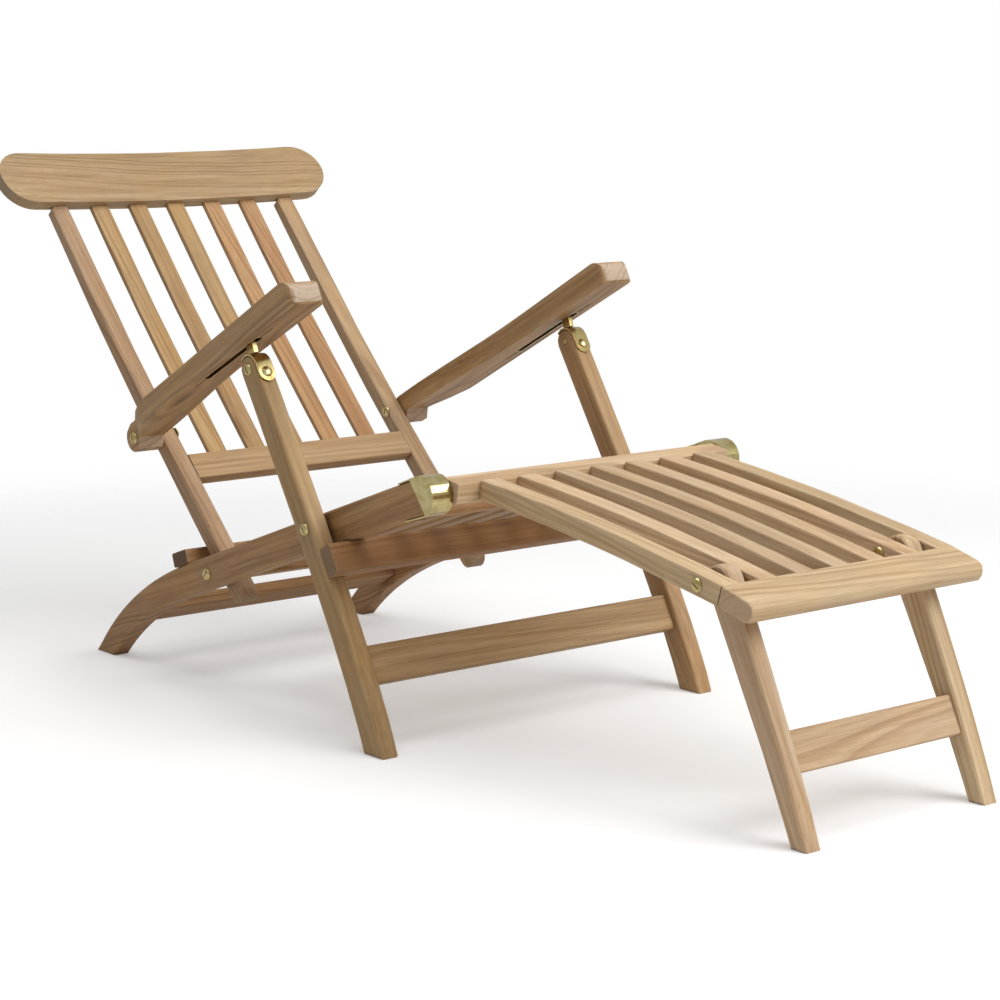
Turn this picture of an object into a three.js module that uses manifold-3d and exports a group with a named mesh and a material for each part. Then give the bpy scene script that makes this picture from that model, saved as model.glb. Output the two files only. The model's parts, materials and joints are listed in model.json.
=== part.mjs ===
// Teak steamer deck chair: a folding lounger with a slatted back, seat and footrest on brass pivots.
// Millimetres, +Z up. X runs across the chair and the foot end points to -Y.
// Side views are drawn in (y, z), with y measured from the pivot of the front legs.
import * as THREE from "three";
import { mergeVertices } from "three/addons/utils/BufferGeometryUtils.js";
import Module from "manifold-3d";

const wasm = await Module();
wasm.setup();

// Fits between pieces
const jointGap = 0.3; // between pieces that are fixed to each other
const runningGap = 0.6; // between pieces that turn past each other
const overrun = 2; // how far a cutting body passes the surface that it cuts
const timberEdge = 2.6; // eased edge of the heavy timbers
const slatEdge = 1.3; // eased edge of the slats
const curveSteps = 14; // straight runs along one curved timber
const roundSteps = 8; // straight runs along half a turn
const turnSteps = 20; // sides of a turned fitting
const placeSteps = 800; // places tried along a curve when a piece is set on it
const mergeShare = 0.001; // of the joint gap, below which two corners are one

// Layout across the chair
const chairWidth = 600; // over the front legs
const legThickness = 28;
const spacerLength = 7; // turned spacer between a leg and its side rail
const railThickness = 28;
const railToe = 14.5; // how far each rail draws in from the leg pivot to the heel
const stileThickness = 29;

// Side rails: a straight seat part, a rounded knee in front and a curved foot behind
const legPivotHeight = 284;
const seatSlope = THREE.MathUtils.degToRad(19.1);
const legPivotRise = 4.7; // over the middle of the rail
const backPivotReach = 327; // along the rail, from the leg pivot
const backPivotDrop = 1.9; // under the middle of the rail
const kneeReach = 229.3; // along the rail, from the leg pivot to the middle of the knee
const kneeDrop = 1.3;
const kneePinLead = 13.5; // how far the hinge pin stands in front of the middle of the knee
const kneePinRise = 2.7;
const railDepth = 46;
const railHeelDepth = 38;
const kneeDiameter = 50;
const footBendReach = 388; // where the rail starts to curve down
const footBendShare = 0.76; // of the way to the heel that the straight line is followed
const heelReach = 612; // level distance from the leg pivot to the heel
const neckShare = 0.65; // of the way to the knee where the rail starts to swell
const neckPullShare = 0.85;
const neckStepShares = [0, 0.33, 0.67];

// Brass knee caps
const capSkin = 1.8;
const capPlateReach = 6.8; // from the middle of the knee to the slanting rear edge of a plate
const capPlateLean = THREE.MathUtils.degToRad(20);
const capStripReach = 45; // from the middle of the knee to the ends of the strips

// Front legs
const legFootReach = 149; // how far the foot stands in front of the pivot
const legBendReach = 101;
const legBendHeight = 128;
const legTopReach = 130; // how far the top stands behind the pivot
const legTopHeight = 488;
const legFootDepth = 40;
const legTopDepth = 37;
const legBarHeight = 42; // stop bar across the front of the legs
const legBarThickness = 23;
const legBarDrop = 58; // from the pivot, down the leg, to the middle of the bar
const legBarGap = 0.9; // between the bar and the front of the legs
const legStretcherHeight = 53;
const legStretcherThickness = 18;
const legStretcherDrop = 201;

// Back frame
const backLength = 694.5; // from the pivot to the top of the stiles
const backSlope = THREE.MathUtils.degToRad(46.47);
const backBow = 16;
const backBowShare = 0.55; // of the way up the back where it bows most
const stileFootDepth = 29;
const stileTopDepth = 20;
const stileTailReach = 40; // how far the stile goes on below its pivot
const backSlatWidthShare = 0.052; // of the chair's width
const backSlatThickness = 9;
const backSlatPitchShare = 0.1167;
const backSlatCount = 5;
const backSlatSetback = 3; // from the front of the stiles to the front of the slats
const backSlatGap = 0.9; // between the slats and the lower rail
const backRailHeight = 44.5;
const backRailThickness = 20;
const backRailReach = 184.6; // from the pivot to the middle of the lower back rail
const headRailWidth = 606;
const headRailHeight = 97;
const headRailThickness = 20;
const headRailLead = 16; // how far its front stands in front of the stiles
const headRailBow = 11;

// Armrests, pivoted on the outer sides of the stiles
const armPivotReach = 251; // from the back pivot
const armPivotLead = 6.3; // in front of the middle of the stile
const armPivotRise = 4.5; // height of the pivot over the line of the underside
const armRiseOverLeg = 34; // from the middle of the leg top to the underside
const armLength = 522; // from the pivot to the front end
const armRearThickness = 27;
const armFrontThickness = 38;
const armOverhang = 4; // past the outer face of the leg
const armWidth = 53;
const armTongueThickness = 41;
const armTongueRadius = 21;
const armLobeRun = 17; // from the pivot to where the underside runs straight
const armLobeRunShare = 0.33; // of the tongue's radius, where the round end stops
const armLobeDropShare = 0.93;
const armTongueRun = 15; // from the pivot to where the tongue starts to widen
const armShoulderRun = 92; // from the pivot to where it has its full width
const armInnerRun = 330; // from the pivot to where the inner face runs straight
const armInnerPullShares = [0.35, 0.6]; // of that run, how the inner face swells
const armNoseRadius = 17;
const armNoseShares = [0, 0.2, 0.4, 0.6, 0.8, 1]; // of the quarter turn over the nose
const armToeShare = 0.45; // of the nose's radius, under the front end
const armToeShares = [0.25, 0.6, 1]; // of the quarter turn under the nose
const armCornerRadius = 9;
const armCornerShare = 0.3; // of that radius, by which each corner is cut back
const armSlotLength = 156;
const armSlotWidth = 13;
const armSlotDepth = 11;
const armSlotReach = 327; // from the pivot to the middle of the slot
const armGrooveLength = 221; // narrow groove that runs on past the slot
const armGrooveWidth = 3;
const armGrooveDepth = 4;
const armLinerSkin = 1.2;

// Brass strap and hook on each leg top
const strapThickness = 2.6;
const strapWidth = 26;
const strapRun = 16; // from the middle of the leg top down to the round end
const strapRearReach = 9; // how far the strap goes past the top of the leg
const hookWidth = 7;
const hookThickness = 16;
const hookGap = 0.75; // between the strap and the hook
const hookClearance = 0.9; // left open under the slot, where the linkage is parted
const hookLean = THREE.MathUtils.degToRad(8);

// Seat
const seatSlatWidthShare = 0.0567;
const seatSlatThickness = 12;
const seatSlatPitchShare = 0.1;
const seatSlatCount = 7;
const seatSlatRise = 12; // top of the slats over the middle of the rails
const seatFrontReach = 186; // along the rails, in front of the leg pivot
const seatRearReach = 262; // along the rails, behind the leg pivot
const seatRailWidth = 24;
const seatRailDepth = 22;
const seatFrontRailInset = 22;
const seatRearRailInset = 14;
const rearBarWidth = 39;
const rearBarThickness = 21.5;
const rearBarReach = 395.5;
const rearStretcherWidth = 45;
const rearStretcherThickness = 20;
const rearStretcherShare = 0.55;

// Footrest
const footSlatWidthShare = 0.05;
const footSlatPitchShare = 0.1042;
const footSlatCount = 7;
const footSlatDepth = 27;
const kneeBarWidth = 35;
const kneeBarThickness = 28;
const kneeBarLead = 4.6; // from the hinge pin to the middle of the knee bar
const kneeBarRise = 3.7;
const kneeBarTilt = THREE.MathUtils.degToRad(10);
const footrestLength = 464; // from the knee pivot to the front bar
const footrestDrop = 66.5; // of the front end under the knee pivot
const footrestBow = 12;
const footrestBowShare = 0.52; // of the way to the front bar where it bows most
const frontBarWidth = 57;
const frontBarThickness = 27;
const frontBarTilt = THREE.MathUtils.degToRad(16);
const frontBarNose = 11;

// Legs under the footrest
const footLegSideGap = 2.75; // between a leg and the slat on each side of it
const footLegPivotReach = 429.4; // from the knee pivot
const footLegTopDepth = 40;
const footLegFootDepth = 24;
const footLegRun = 140; // how far the foot stands in front of its pivot
const footLegBend = 9;
const footLegBendShare = 0.62; // of the way down from the pivot
const footStretcherHeight = 51;
const footStretcherThickness = 18;
const footStretcherReach = 216;

// Turned brass fittings
const boltRadius = 4;
const boltHeadRadius = 9;
const boltHeadHeight = 3.6;
const boltRimShare = 0.35; // of the head's height
const boltCrownShare = 0.62; // of the head's radius
const boltShoulderShare = 0.9;
const pinRadius = 3.5;
const pinReach = 18;
const spacerRadius = 11;
const boltSlotWidth = 1.6;
const boltSlotDepth = 1.2;

// Derived places across the chair
const legOut = chairWidth / 2;
const legIn = legOut - legThickness;
const railOut = legIn - spacerLength; // where the rail passes the leg pivot
const backSlatWidth = chairWidth * backSlatWidthShare;
const backSlatPitch = chairWidth * backSlatPitchShare;
const seatSlatWidth = chairWidth * seatSlatWidthShare;
const seatSlatPitch = chairWidth * seatSlatPitchShare;
const footSlatWidth = chairWidth * footSlatWidthShare;
const footSlatPitch = chairWidth * footSlatPitchShare;
const railSlant = railToe / heelReach;
const railOutAt = (y) => railOut - y * railSlant;
const railInAt = (y) => railOutAt(y) - railThickness;
const seatTilt = boltHeadRadius * railSlant; // what the slant takes from the seat of a bolt head

// Derived places in the side view
const point = (y, z) => new THREE.Vector2(y, z);
const along = (angle, length) => point(Math.cos(angle) * length, Math.sin(angle) * length);
const turned = (v, angle) => v.clone().rotateAround(point(0, 0), angle);
const square = (v) => point(-v.y, v.x);
const legPivot = point(0, legPivotHeight);
const railLine = (reach, rise) => {
  const over = along(Math.PI / 2 - seatSlope, rise - legPivotRise);
  return legPivot.clone().add(along(-seatSlope, reach)).add(over);
};
const backPivot = railLine(backPivotReach, -backPivotDrop);
const kneeMiddle = railLine(-kneeReach, 0).sub(point(0, kneeDrop));
const kneePivot = kneeMiddle.clone().add(point(-kneePinLead, kneePinRise));
const kneeBarMiddle = kneePivot.clone().add(point(-kneeBarLead, kneeBarRise));
const capIn = railInAt(kneeMiddle.x) - capSkin - jointGap;
const legTop = point(legTopReach, legTopHeight);
const stileOut = railInAt(backPivot.x + stileTailReach + stileFootDepth / 2) - runningGap;
const stileIn = stileOut - stileThickness;

// Solids and geometries
function toSolid(geometry) {
  const bare = geometry.clone();
  bare.deleteAttribute("normal");
  bare.deleteAttribute("uv");
  const joined = mergeVertices(bare, jointGap * mergeShare);
  const vertProperties = new Float32Array(joined.attributes.position.array);
  const triVerts = new Uint32Array(joined.index.array);
  return new wasm.Manifold(new wasm.Mesh({ numProp: 3, vertProperties, triVerts }));
}

function toGeometry(solid) {
  const mesh = solid.getMesh();
  const geometry = new THREE.BufferGeometry();
  geometry.setAttribute("position", new THREE.BufferAttribute(mesh.vertProperties, 3));
  geometry.setIndex(new THREE.BufferAttribute(mesh.triVerts, 1));
  geometry.computeVertexNormals();
  return geometry;
}

function cut(geometry, ...cutters) {
  let solid = toSolid(geometry);
  for (const cutter of cutters) {
    solid = solid.subtract(toSolid(cutter));
  }
  return toGeometry(solid);
}

function common(geometry, other) {
  return toGeometry(toSolid(geometry).intersect(toSolid(other)));
}

// Pushes a closed outline through a frame: outline x along right, outline y along up, from near to far
function extruded(points, near, far, bevel, right, up) {
  const geometry = new THREE.ExtrudeGeometry(new THREE.Shape(points), {
    depth: far - near - bevel * 2,
    bevelEnabled: bevel > 0,
    bevelThickness: bevel,
    bevelSize: bevel,
    bevelOffset: -bevel,
    bevelSegments: 1,
    curveSegments: 1,
  });
  geometry.translate(0, 0, near + bevel);
  const out = new THREE.Vector3().crossVectors(right, up);
  geometry.applyMatrix4(new THREE.Matrix4().makeBasis(right, up, out));
  return geometry;
}

const levelAxis = new THREE.Vector3(0, 1, 0);
const upAxis = new THREE.Vector3(0, 0, 1);

// A side outline pushed across the chair, from one x to another
function slab(points, from, to, bevel) {
  return extruded(points, Math.min(from, to), Math.max(from, to), bevel, levelAxis, upAxis);
}

// Half a turn of points around a centre, from one end of a band to the other
function halfTurn(centre, from, sweep) {
  const points = [];
  for (let i = 1; i < roundSteps; i += 1) {
    points.push(turned(from.clone().sub(centre), (sweep * i) / roundSteps).add(centre));
  }
  return points;
}

// The outline of a bent timber: a curve with a depth at each end, square or round ends
function band(curve, startDepth, endDepth, ends = {}) {
  const upper = [];
  const lower = [];
  for (let i = 0; i <= curveSteps; i += 1) {
    const t = i / curveSteps;
    const middle = curve.getPoint(t);
    const half = THREE.MathUtils.lerp(startDepth, endDepth, t) / 2;
    const side = square(curve.getTangent(t)).multiplyScalar(half);
    upper.push(middle.clone().add(side));
    lower.push(middle.clone().sub(side));
  }
  const startCap = ends.roundStart ? halfTurn(curve.getPoint(0), lower[0], -Math.PI) : [];
  const endCap = ends.roundEnd ? halfTurn(curve.getPoint(1), upper[curveSteps], -Math.PI) : [];
  return [...upper, ...endCap, ...lower.reverse(), ...startCap];
}

// The place on a curve at a distance from a point, with the direction of the curve there
function placeOn(curve, from, reach, suits = () => true) {
  const offBy = (t) => Math.abs(curve.getPoint(t).distanceTo(from) - reach);
  const tried = Array.from({ length: placeSteps + 1 }, (unused, i) => i / placeSteps);
  const share = tried
    .filter((t) => suits(curve.getPoint(t)))
    .reduce((best, t) => (offBy(t) < offBy(best) ? t : best));
  return { middle: curve.getPoint(share), up: curve.getTangent(share), share };
}

// Cuts an outline off level with the floor
function onFloor(points) {
  const kept = [];
  points.forEach((p, i) => {
    const next = points[(i + 1) % points.length];
    if (p.y >= 0) kept.push(p);
    if (p.y >= 0 !== next.y >= 0) kept.push(p.clone().lerp(next, p.y / (p.y - next.y)));
  });
  return kept;
}

// A rectangle with eased corners, turned in the side view
function section(centre, angle, width, thickness, corner) {
  const points = [];
  const easings = corner > 0 ? [0, 1, 2] : [0];
  const halfWidth = width / 2 - corner;
  const halfThickness = thickness / 2 - corner;
  const signs = [[1, 1], [-1, 1], [-1, -1], [1, -1]];
  signs.forEach(([across, over], i) => {
    for (const step of easings) {
      const ease = along(((i + step / 2) * Math.PI) / 2, corner);
      points.push(point(across * halfWidth, over * halfThickness).add(ease));
    }
  });
  return points.map((p) => turned(p, angle).add(centre));
}

function crossbar(centre, angle, width, thickness, halfLength) {
  return slab(section(centre, angle, width, thickness, timberEdge), -halfLength, halfLength, 0);
}

// A turned piece along x: radii is a list of [x, radius]
function turnedPiece(centre, radii) {
  const first = radii[0][0];
  const last = radii[radii.length - 1][0];
  const profile = [point(0, first), ...radii.map(([x, radius]) => point(radius, x)), point(0, last)];
  const geometry = new THREE.LatheGeometry(profile, turnSteps);
  const basis = new THREE.Matrix4().makeBasis(upAxis, new THREE.Vector3(1, 0, 0), levelAxis);
  geometry.applyMatrix4(basis);
  return toGeometry(toSolid(geometry)).translate(0, centre.x, centre.y);
}

function bore(centre, from, to, radius) {
  const near = Math.min(from, to) - overrun;
  const far = Math.max(from, to) + overrun;
  return turnedPiece(centre, [[near, radius], [far, radius]]);
}

// A bolt with a domed head outside and a domed nut inside, both slotted
function bolt(centre, outer, inner) {
  const reach = outer + boltHeadHeight + jointGap;
  const end = inner - boltHeadHeight - jointGap;
  const rim = boltHeadHeight * boltRimShare;
  const crown = boltHeadRadius * boltCrownShare;
  const shoulder = boltHeadRadius * boltShoulderShare;
  const body = turnedPiece(centre, [
    [end, crown],
    [end + rim, shoulder],
    [inner - jointGap, boltHeadRadius],
    [inner - jointGap, boltRadius],
    [outer + jointGap, boltRadius],
    [outer + jointGap, boltHeadRadius],
    [reach - rim, shoulder],
    [reach, crown],
  ]);
  const groove = section(centre, -Math.PI / 3, boltHeadRadius * 2 + overrun, boltSlotWidth, 0);
  const outerGroove = slab(groove, reach - boltSlotDepth, reach + overrun, 0);
  const innerGroove = slab(groove, end - overrun, end + boltSlotDepth, 0);
  return cut(body, outerGroove, innerGroove);
}

const boltHole = (centre, from, to) => bore(centre, from, to, boltRadius + jointGap);

// Colours and finishes
const teak = { color: 0xb98f62, roughness: 0.62, metalness: 0 };
const paleTeak = { color: 0xcdae86, roughness: 0.64, metalness: 0 };
const brass = { color: 0xc9a24a, roughness: 0.28, metalness: 1 };

const chair = new THREE.Group();

function add(name, geometry, finish) {
  const mesh = new THREE.Mesh(geometry, new THREE.MeshStandardMaterial(finish));
  mesh.name = name;
  chair.add(mesh);
}

// Draws a piece in towards the heel, as the side rails run
function toedIn(geometry) {
  const slant = new THREE.Matrix4().makeShear(0, 0, -railSlant, 0, 0, 0);
  return geometry.clone().applyMatrix4(slant);
}

// The same piece on the near side (-X) and, mirrored, on the far side (+X)
function addPair(name, geometry, finish) {
  add(`${name}_left`, mirrored(geometry), finish);
  add(`${name}_right`, geometry, finish);
}

function mirrored(geometry) {
  const solid = toSolid(geometry);
  return toGeometry(solid.mirror([1, 0, 0]));
}

function railCurve() {
  const path = new THREE.CurvePath();
  const bend = railLine(footBendReach, 0);
  const pull = railLine(footBendReach + (heelReach - footBendReach) * footBendShare, 0);
  const neck = railLine(-kneeReach * neckShare, 0);
  const neckPull = railLine(-kneeReach * neckPullShare, 0);
  path.add(new THREE.QuadraticBezierCurve(kneeMiddle, neckPull, neck));
  path.add(new THREE.LineCurve(neck, bend));
  path.add(new THREE.QuadraticBezierCurve(bend, pull, point(heelReach, 0)));
  return path;
}

function railOutline(growth) {
  const upper = [];
  const lower = [];
  const [neck, seat, heel] = railCurve().curves;
  const addSide = (curve, t, depth) => {
    const side = square(curve.getTangent(t)).multiplyScalar(depth / 2 + growth);
    upper.push(curve.getPoint(t).add(side));
    lower.push(curve.getPoint(t).sub(side));
  };
  for (const t of neckStepShares) {
    addSide(neck, t, THREE.MathUtils.lerp(kneeDiameter, railDepth, t));
  }
  addSide(seat, 0, railDepth);
  for (let i = 0; i <= curveSteps; i += 1) {
    const t = i / curveSteps;
    addSide(heel, t, THREE.MathUtils.lerp(railDepth, railHeelDepth, t));
  }
  const toe = heel.getTangent(1).multiplyScalar(railHeelDepth + railDepth);
  upper.push(upper[upper.length - 1].clone().add(toe));
  lower.push(lower[lower.length - 1].clone().add(toe));
  const knee = halfTurn(kneeMiddle, lower[0], -Math.PI);
  return onFloor([...upper, ...lower.reverse(), ...knee]);
}

function sideRail() {
  const body = toedIn(slab(railOutline(0), railInAt(0), railOut, timberEdge));
  const kneeIn = railInAt(kneePivot.x);
  const kneeHole = bore(kneePivot, kneeIn, kneeIn + pinReach, pinRadius + jointGap);
  const legHole = boltHole(legPivot, railInAt(0), railOut);
  const backHole = boltHole(backPivot, railInAt(backPivot.x), railOutAt(backPivot.x));
  return cut(body, kneeHole, legHole, backHole);
}

// A bent sheet over the knee: a nose, a plate on each side and a strip over and under the rail
function kneeCap() {
  const lift = capSkin + jointGap;
  const shell = slab(railOutline(lift), railInAt(0) - lift, railOut + lift, 0);
  const hollow = slab(railOutline(jointGap), railInAt(0) - jointGap, railOut + jointGap, 0);
  const far = heelReach * 2;
  const behind = (start, lean) =>
    [point(start, -far), point(far, -far), point(far, far), point(start, far)]
      .map((p) => turned(p, -seatSlope - lean).add(kneeMiddle));
  const stripCut = slab(behind(capStripReach, 0), 0, legOut, 0);
  const outerCut = slab(behind(capPlateReach, capPlateLean), railOut + jointGap, legOut, 0);
  const innerCut = slab(behind(capPlateReach, capPlateLean), 0, railInAt(0) - jointGap, 0);
  const sheet = toedIn(cut(shell, hollow, stripCut, outerCut, innerCut));
  return cut(sheet, bore(kneePivot, capIn, railInAt(kneePivot.x), pinRadius + jointGap));
}

function kneePin() {
  const inner = railInAt(kneePivot.x);
  return turnedPiece(kneePivot, [[inner - pinReach, pinRadius], [inner + pinReach, pinRadius]]);
}

function seatSlat(x) {
  const half = seatSlatThickness / 2;
  const rise = seatSlatRise - half;
  const middle = railLine((seatRearReach - seatFrontReach) / 2, rise);
  const length = seatFrontReach + seatRearReach;
  const outline = section(middle, -seatSlope, length, seatSlatThickness, 0);
  return slab(outline, x - seatSlatWidth / 2, x + seatSlatWidth / 2, slatEdge);
}

function seatRail(reach) {
  const rise = seatSlatRise - seatSlatThickness - seatRailDepth / 2 - jointGap;
  const centre = railLine(reach, rise);
  const half = railInAt(centre.x + seatRailWidth) - jointGap;
  return crossbar(centre, -seatSlope, seatRailWidth, seatRailDepth, half);
}

function rearBar() {
  const centre = railLine(rearBarReach, railDepth / 2 + rearBarThickness / 2 + jointGap);
  const half = railOutAt(centre.x + rearBarWidth / 2);
  return crossbar(centre, -seatSlope, rearBarWidth, rearBarThickness, half);
}

function rearStretcher() {
  const heel = railCurve().curves[2];
  const centre = heel.getPoint(rearStretcherShare);
  const lean = heel.getTangent(rearStretcherShare).angle();
  const half = railInAt(centre.x + rearStretcherWidth / 2) - jointGap;
  return crossbar(centre, lean, rearStretcherWidth, rearStretcherThickness, half);
}

function legCurve() {
  const foot = point(-legFootReach, 0);
  const bend = point(-legBendReach, legBendHeight);
  return new THREE.QuadraticBezierCurve(foot, bend, legTop);
}

// The place on a leg at a distance below its pivot, with the direction up the leg
function legPlace(drop) {
  return placeOn(legCurve(), legPivot, drop, (p) => p.y < legPivotHeight);
}

function frontLeg() {
  const curve = legCurve();
  const outline = band(curve, legFootDepth, legTopDepth, { roundEnd: true });
  const toe = curve.getTangent(0).multiplyScalar(-legFootDepth);
  outline.push(outline[outline.length - 1].clone().add(toe));
  outline.push(outline[0].clone().add(toe));
  const body = slab(onFloor(outline), legIn, legOut, timberEdge);
  return cut(body, boltHole(legPivot, legIn, legOut), boltHole(legTop, legIn, legOut));
}

function legBar() {
  const place = legPlace(legBarDrop);
  const depth = THREE.MathUtils.lerp(legFootDepth, legTopDepth, place.share);
  const lead = depth / 2 + legBarThickness / 2 + legBarGap;
  const centre = place.middle.clone().add(square(place.up).multiplyScalar(lead));
  return crossbar(centre, place.up.angle(), legBarHeight, legBarThickness, legOut);
}

function legStretcher() {
  const place = legPlace(legStretcherDrop);
  const half = legIn - jointGap;
  return crossbar(place.middle, place.up.angle(), legStretcherHeight, legStretcherThickness, half);
}

function legSpacer() {
  const inner = railOut + runningGap;
  const outer = legIn - jointGap;
  const bored = boltHole(legPivot, inner, outer);
  return cut(turnedPiece(legPivot, [[inner, spacerRadius], [outer, spacerRadius]]), bored);
}

function topDirection() {
  return legCurve().getTangent(1);
}

// A brass strap bent over the front of the round leg top, with a round lower end
function legStrap() {
  const up = topDirection();
  const lead = square(up);
  const at = (rise, ahead) => legTop.clone().addScaledVector(up, rise).addScaledVector(lead, ahead);
  const ring = (radius) => {
    const front = at(0, radius);
    return [at(-legTopHeight, radius), front, ...halfTurn(legTop, front, -Math.PI), at(0, -radius),
      at(-legTopHeight, -radius)];
  };
  const middle = (legOut + legIn) / 2;
  const half = strapWidth / 2;
  const inner = legTopDepth / 2 + jointGap;
  const outer = inner + strapThickness;
  const shell = slab(ring(outer), middle - half, middle + half, 0);
  const hollow = slab(ring(inner), middle - half - overrun, middle + half + overrun, 0);
  const view = new THREE.Shape();
  view.absarc(middle, -strapRun, half, Math.PI, Math.PI * 2, false);
  view.lineTo(middle + half, outer * 2);
  view.lineTo(middle - half, outer * 2);
  const across = new THREE.Vector3(1, 0, 0);
  const front = extruded(view.getPoints(roundSteps), -strapRearReach, outer * 2, 0, across,
    new THREE.Vector3(0, up.x, up.y));
  return common(cut(shell, hollow), front.translate(0, legTop.x, legTop.y));
}

// The hook stands on the strap and stops just under the slot of the armrest
function legHook(arm) {
  const rise = arm.away.clone().rotateAround(point(0, 0), hookLean);
  const start = legTopDepth / 2 + strapThickness + hookGap;
  const tip = (hookThickness / 2) * Math.sin(hookLean);
  const end = (armRiseOverLeg - hookClearance - tip) / Math.cos(hookLean);
  const middle = legTop.clone().add(rise.clone().multiplyScalar((start + end) / 2));
  const outline = section(middle, rise.angle(), end - start, hookThickness, slatEdge);
  const across = (legOut + legIn) / 2;
  return slab(outline, across - hookWidth / 2, across + hookWidth / 2, 0);
}

// The curve of the back, from its pivot to the top of the stiles
function backCurve(shift = 0, startShare = 0) {
  const reach = along(backSlope, backLength);
  const bow = square(reach.clone().normalize()).multiplyScalar(-backBow);
  const top = backPivot.clone().add(reach);
  const pull = backPivot.clone().addScaledVector(reach, backBowShare).add(bow);
  const full = new THREE.QuadraticBezierCurve(backPivot, pull, top);
  const points = [];
  for (let i = 0; i <= curveSteps; i += 1) {
    const t = THREE.MathUtils.lerp(startShare, 1, i / curveSteps);
    points.push(full.getPoint(t).add(square(full.getTangent(t)).multiplyScalar(shift)));
  }
  return new THREE.SplineCurve(points);
}

// The place on the middle of a stile at a distance from the back pivot
function backPlace(reach) {
  return placeOn(backCurve(), backPivot, reach);
}

const armPlace = backPlace(armPivotReach);
const armPivot = armPlace.middle.clone().add(square(armPlace.up).multiplyScalar(armPivotLead));

function stile() {
  const curve = backCurve();
  const tail = backPivot.clone().sub(curve.getTangent(0).multiplyScalar(stileTailReach));
  const outline = band(curve, stileFootDepth, stileTopDepth);
  const side = square(curve.getTangent(0)).multiplyScalar(stileFootDepth / 2);
  const lower = tail.clone().sub(side);
  const end = [lower, ...halfTurn(tail, lower, -Math.PI), tail.clone().add(side)];
  const body = slab([...outline, ...end], stileIn, stileOut, timberEdge);
  return cut(body, boltHole(backPivot, stileIn, stileOut), boltHole(armPivot, stileIn, stileOut));
}

function lowerBackRail() {
  const place = backPlace(backRailReach);
  const depth = THREE.MathUtils.lerp(stileFootDepth, stileTopDepth, place.share);
  const lead = square(place.up).multiplyScalar(depth / 2 - backRailThickness / 2);
  const centre = place.middle.clone().add(lead);
  return crossbar(centre, place.up.angle(), backRailHeight, backRailThickness, stileIn - jointGap);
}

function backSlat(x) {
  const place = backPlace(backRailReach + backRailHeight / 2 + backSlatGap);
  const lead = stileTopDepth / 2 - backSlatSetback - backSlatThickness / 2;
  const outline = band(backCurve(lead, place.share), backSlatThickness, backSlatThickness);
  return slab(outline, x - backSlatWidth / 2, x + backSlatWidth / 2, slatEdge);
}

// The head rail is bowed back in the middle, with round ends
function headRail() {
  const curve = backCurve();
  const origin = curve.getPoint(1);
  const rise = curve.getTangent(1);
  const across = new THREE.Vector3(1, 0, 0);
  const up = new THREE.Vector3(0, rise.x, rise.y);
  const rear = new THREE.Vector3().crossVectors(up, across);
  const half = headRailWidth / 2;
  const lead = stileTopDepth / 2 + headRailLead;
  const face = [];
  const back = [];
  for (let i = 0; i <= curveSteps * 2; i += 1) {
    const x = THREE.MathUtils.lerp(-half, half, i / (curveSteps * 2));
    const setback = headRailBow * (1 - (x / half) ** 2) - lead;
    face.push(point(x, setback));
    back.push(point(x, setback + headRailThickness));
  }
  const top = jointGap + headRailHeight;
  const plan = extruded([...face, ...back.reverse()], jointGap, top, 0, across, rear);
  const end = headRailHeight / 2;
  const view = new THREE.Shape();
  view.absarc(half - end, jointGap + end, end, -Math.PI / 2, Math.PI / 2, false);
  view.absarc(-half + end, jointGap + end, end, Math.PI / 2, Math.PI * 1.5, false);
  const reach = headRailThickness + headRailBow;
  const blank = extruded(view.getPoints(roundSteps), -reach, reach, 0, across, up);
  return common(plan, blank).translate(0, origin.x, origin.y);
}

// The line of an armrest: forward along its underside and away from it, upward
function armFrame() {
  const reach = legTop.clone().sub(armPivot);
  const tilt = Math.asin((armRiseOverLeg + armPivotRise) / reach.length());
  const forward = turned(reach.normalize(), -tilt);
  const away = square(forward).negate();
  const at = (run, rise) => armPivot.clone().addScaledVector(forward, run).addScaledVector(away, rise);
  return { forward, away, at };
}

function armSide(arm) {
  const under = -armPivotRise;
  const rearTop = arm.at(0, under + armRearThickness);
  const noseMiddle = arm.at(armLength - armNoseRadius, under + armFrontThickness - armNoseRadius);
  const toe = armNoseRadius * armToeShare;
  const toeMiddle = arm.at(armLength - toe, under + toe);
  const rounding = halfTurn(armPivot, arm.at(0, armTongueRadius), -Math.PI);
  const points = [rearTop, ...rounding.slice(1)];
  points.push(arm.at(armTongueRadius * armLobeRunShare, -armTongueRadius * armLobeDropShare));
  points.push(arm.at(armLobeRun, under), arm.at(armLength - toe * 2, under));
  for (const share of armToeShares) {
    const ease = turned(arm.away.clone().negate(), (-share * Math.PI) / 2).multiplyScalar(toe);
    points.push(toeMiddle.clone().add(ease));
  }
  for (const share of armNoseShares) {
    const ease = turned(arm.forward.clone(), (-share * Math.PI) / 2).multiplyScalar(armNoseRadius);
    points.push(noseMiddle.clone().add(ease));
  }
  return points;
}

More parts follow.
